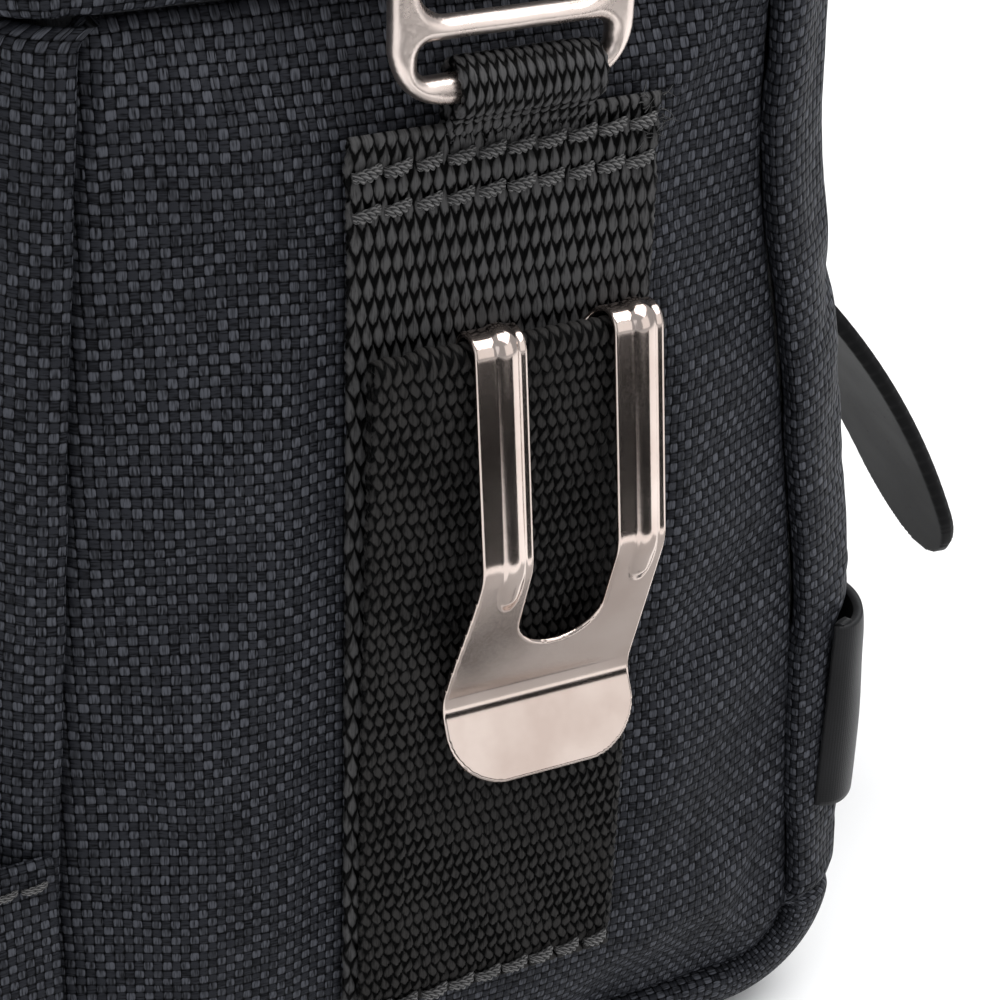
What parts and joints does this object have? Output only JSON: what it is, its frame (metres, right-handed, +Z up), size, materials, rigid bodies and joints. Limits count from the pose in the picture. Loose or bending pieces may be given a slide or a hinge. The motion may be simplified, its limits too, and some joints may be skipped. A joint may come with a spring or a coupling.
{
  "type": "electrician tool pouch",
  "caption": "Upright open-top tool pouch in ballistic nylon with webbing sides, swinging ladder rings, a sprung tape clip on one side and a belt clip on the back.",
  "frame": {"origin": "middle of the base's rest face, between the two side panels", "axes": "+Z up, -Y the front, +Y the back that hangs against the belt, +X the side with the tape clip"},
  "size_m": [0.1285, 0.1908, 0.1871],
  "materials": {
    "ballistic_nylon": "navy black ballistic nylon, basket-textured weave",
    "lining_cloth": "smooth dark grey lining cloth",
    "board": "black polyethylene stiffener",
    "foam": "grey closed-cell foam",
    "elastic": "black woven elastic",
    "webbing": "black ribbed nylon webbing",
    "nickel": "polished nickel plate on steel",
    "black_steel": "satin black coated spring steel",
    "coated_band": "smooth black coated band"
  },
  "bodies": {
    "pouch": {"front_panel": "ballistic_nylon", "back_panel": "ballistic_nylon", "base_panel": "ballistic_nylon", "gusset_right": "ballistic_nylon", "gusset_left": "ballistic_nylon", "mouth_collar": "ballistic_nylon", "lining": "lining_cloth", "back_board": "board", "front_foam": "foam", "base_board": "board", "divider": "lining_cloth", "tool_loops": "elastic", "front_pocket": "ballistic_nylon", "back_band": "coated_band", "strap_right": "webbing", "strap_left": "webbing", "ring_loop_right": "webbing", "ring_loop_left": "webbing", "tape_flap": "webbing", "tape_clip_leg": "nickel", "belt_clip_leg": "black_steel", "belt_backing_plate": "black_steel", "belt_clip_rivets": "black_steel"},
    "ring_right": {"ring_right": "nickel"},
    "ring_left": {"ring_left": "nickel"},
    "tape_clip": {"tape_clip_front": "nickel"},
    "belt_clip": {"belt_clip_tongue": "black_steel"}
  },
  "joints": [
    {"name": "ring_right_swing", "type": "hinge", "parent": "pouch", "child": "ring_right", "pos_m": [0.058, 0, 0.1564], "axis": [0, 1, 0], "range_deg": [-6, 130]},
    {"name": "ring_left_swing", "type": "hinge", "parent": "pouch", "child": "ring_left", "pos_m": [-0.058, 0, 0.1564], "axis": [0, -1, 0], "range_deg": [-6, 130]},
    {"name": "tape_clip_flex", "type": "hinge", "parent": "pouch", "child": "tape_clip", "pos_m": [0.0605, 0.005, 0.1255], "axis": [0, -1, 0], "range_deg": [0, 12], "stiffness_Nm_per_rad": 0.6},
    {"name": "belt_clip_flex", "type": "hinge", "parent": "pouch", "child": "belt_clip", "pos_m": [0, 0.0597, 0.1051], "axis": [1, 0, 0], "range_deg": [0, 12], "stiffness_Nm_per_rad": 3}
  ]
}
